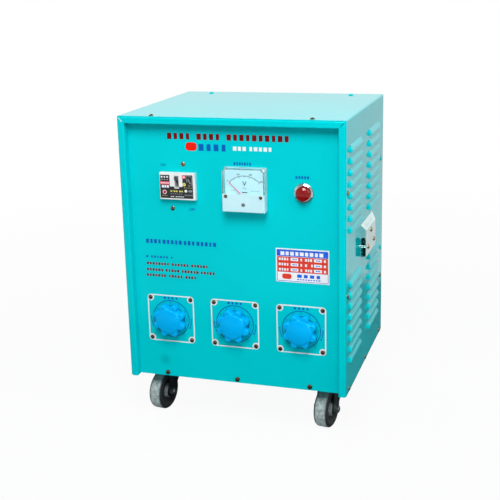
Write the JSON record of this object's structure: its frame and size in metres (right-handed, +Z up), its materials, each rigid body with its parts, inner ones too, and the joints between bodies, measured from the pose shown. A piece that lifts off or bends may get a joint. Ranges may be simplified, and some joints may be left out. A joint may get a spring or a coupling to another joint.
{
  "type": "step-down transformer",
  "caption": "Dry step-down transformer in a louvred steel cabinet on swivel casters, with a circuit breaker, a voltmeter, a pilot lamp and rotary tap selectors on a recessed front.",
  "frame": {"origin": "middle of the object's own box in X and Y, on the floor under the wheels", "axes": "+Z up, the control panel faces -Y, +X to the right of someone facing the panel"},
  "size_m": [0.4572, 0.384, 0.6057],
  "materials": {
    "cabinet_paint": "gloss turquoise enamel",
    "base_steel": "turquoise enamel over steel",
    "brown_zinc": "yellow-brown passivated zinc",
    "plated_steel": "bright nickel plate",
    "nylon_white": "natural nylon",
    "sticker": "printed film",
    "ivory_plastic": "moulded, satin",
    "dark_lever": "moulded, satin",
    "red_button": "moulded, gloss",
    "meter_clear": "clear moulded cover",
    "meter_white": "moulded, gloss",
    "meter_body": "moulded",
    "dial_enamel": "white enamel",
    "pointer_red": "red paint",
    "lens_red": "red moulded lens",
    "lamp_plastic": "moulded",
    "steel_zinc": "zinc plated",
    "knob_blue": "moulded, gloss",
    "phenolic": "brown laminate",
    "brass_contact": "bright",
    "tread_rubber": "grey-black rubber with dust",
    "fork_steel": "dark zinc",
    "core_iron": "varnished steel laminations",
    "clamp_steel": "black paint",
    "copper_varnish": "varnished copper",
    "pressboard": "pressed board"
  },
  "bodies": {
    "cabinet": {"cover": "cabinet_paint", "front_panel": "cabinet_paint", "rear_panel": "cabinet_paint", "base_tray": "base_steel", "cabinet_screws": "brown_zinc", "painted_screws": "cabinet_paint", "outlet_hood_right": "plated_steel", "outlet_hood_left": "plated_steel", "cable_grommets": "nylon_white", "rating_plate": "sticker", "component_screws": "brown_zinc", "breaker_case": "ivory_plastic", "meter_case": "meter_body", "meter_dial": "dial_enamel", "meter_window": "meter_clear", "meter_lower_cover": "meter_white", "meter_screws": "brown_zinc", "lamp_bezel": "plated_steel", "lamp_lens": "lens_red", "lamp_holder": "lamp_plastic", "lamp_nut": "steel_zinc", "selector_contacts": "brass_contact", "caster_plates": "steel_zinc", "caster_bolts": "steel_zinc", "core": "core_iron", "core_clamps": "clamp_steel", "clamp_bolts": "steel_zinc", "coil_bobbins": "pressboard", "inner_windings": "copper_varnish", "outer_windings": "copper_varnish", "terminal_board": "phenolic", "terminal_studs": "brass_contact", "selector_plate_left": "phenolic", "selector_plate_centre": "phenolic", "selector_plate_right": "phenolic"},
    "knob_left": {"selector_knob_left": "knob_blue", "selector_shaft_left": "steel_zinc", "selector_wiper_left": "brass_contact"},
    "knob_centre": {"selector_knob_centre": "knob_blue", "selector_shaft_centre": "steel_zinc", "selector_wiper_centre": "brass_contact"},
    "knob_right": {"selector_knob_right": "knob_blue", "selector_shaft_right": "steel_zinc", "selector_wiper_right": "brass_contact"},
    "toggle": {"breaker_toggle": "dark_lever"},
    "test_button": {"breaker_test_button": "red_button"},
    "pointer": {"meter_pointer": "pointer_red"},
    "zero_screw": {"meter_zero_screw": "meter_body"},
    "caster_front_left": {"caster_fork_front_left": "fork_steel", "caster_axle_front_left": "steel_zinc"},
    "wheel_front_left": {"caster_wheel_front_left": "tread_rubber"},
    "caster_front_right": {"caster_fork_front_right": "fork_steel", "caster_axle_front_right": "steel_zinc"},
    "wheel_front_right": {"caster_wheel_front_right": "tread_rubber"},
    "caster_rear_left": {"caster_fork_rear_left": "fork_steel", "caster_axle_rear_left": "steel_zinc"},
    "wheel_rear_left": {"caster_wheel_rear_left": "tread_rubber"},
    "caster_rear_right": {"caster_fork_rear_right": "fork_steel", "caster_axle_rear_right": "steel_zinc"},
    "wheel_rear_right": {"caster_wheel_rear_right": "tread_rubber"}
  },
  "joints": [
    {"name": "selector_left", "type": "hinge", "parent": "cabinet", "child": "knob_left", "pos_m": [-0.1312, -0.17, 0.2094], "axis": [0, 1, 0], "range_deg": [-120, 120]},
    {"name": "selector_centre", "type": "hinge", "parent": "cabinet", "child": "knob_centre", "pos_m": [-0.0019, -0.17, 0.2094], "axis": [0, 1, 0], "range_deg": [-120, 120]},
    {"name": "selector_right", "type": "hinge", "parent": "cabinet", "child": "knob_right", "pos_m": [0.1274, -0.17, 0.2094], "axis": [0, 1, 0], "range_deg": [-120, 120]},
    {"name": "breaker_toggle_swing", "type": "hinge", "parent": "cabinet", "child": "toggle", "pos_m": [-0.1046, -0.163, 0.4813], "axis": [1, 0, 0], "range_deg": [0, 50]},
    {"name": "test_button_push", "type": "slide", "parent": "cabinet", "child": "test_button", "axis": [0, 1, 0], "range_m": [0, 0.001], "stiffness_N_per_m": 400, "springref_m": -0.001},
    {"name": "pointer_sweep", "type": "hinge", "parent": "cabinet", "child": "pointer", "pos_m": [0.0268, -0.1775, 0.4576], "axis": [0, 1, 0], "range_deg": [0, 90], "stiffness_Nm_per_rad": 0.002, "springref_deg": -11.46},
    {"name": "zero_screw_turn", "type": "hinge", "parent": "cabinet", "child": "zero_screw", "pos_m": [0.0268, -0.189, 0.4466], "axis": [0, 1, 0], "continuous": true},
    {"name": "swivel_front_left", "type": "hinge", "parent": "cabinet", "child": "caster_front_left", "pos_m": [-0.169, -0.0935, 0.09], "axis": [0, 0, 1], "continuous": true},
    {"name": "roll_front_left", "type": "hinge", "parent": "caster_front_left", "child": "wheel_front_left", "pos_m": [-0.17345, -0.12519, 0.0375], "axis": [0.9903, -0.1392, 0], "continuous": true},
    {"name": "swivel_front_right", "type": "hinge", "parent": "cabinet", "child": "caster_front_right", "pos_m": [0.169, -0.0935, 0.09], "axis": [0, 0, 1], "continuous": true},
    {"name": "roll_front_right", "type": "hinge", "parent": "caster_front_right", "child": "wheel_front_right", "pos_m": [0.16455, -0.12519, 0.0375], "axis": [0.9903, -0.1392, 0], "continuous": true},
    {"name": "swivel_rear_left", "type": "hinge", "parent": "cabinet", "child": "caster_rear_left", "pos_m": [-0.169, 0.0935, 0.09], "axis": [0, 0, 1], "continuous": true},
    {"name": "roll_rear_left", "type": "hinge", "parent": "caster_rear_left", "child": "wheel_rear_left", "pos_m": [-0.137, 0.0935, 0.0375], "axis": [0, 1, 0], "continuous": true},
    {"name": "swivel_rear_right", "type": "hinge", "parent": "cabinet", "child": "caster_rear_right", "pos_m": [0.169, 0.0935, 0.09], "axis": [0, 0, 1], "continuous": true},
    {"name": "roll_rear_right", "type": "hinge", "parent": "caster_rear_right", "child": "wheel_rear_right", "pos_m": [0.137, 0.0935, 0.0375], "axis": [0, -1, 0], "continuous": true}
  ]
}
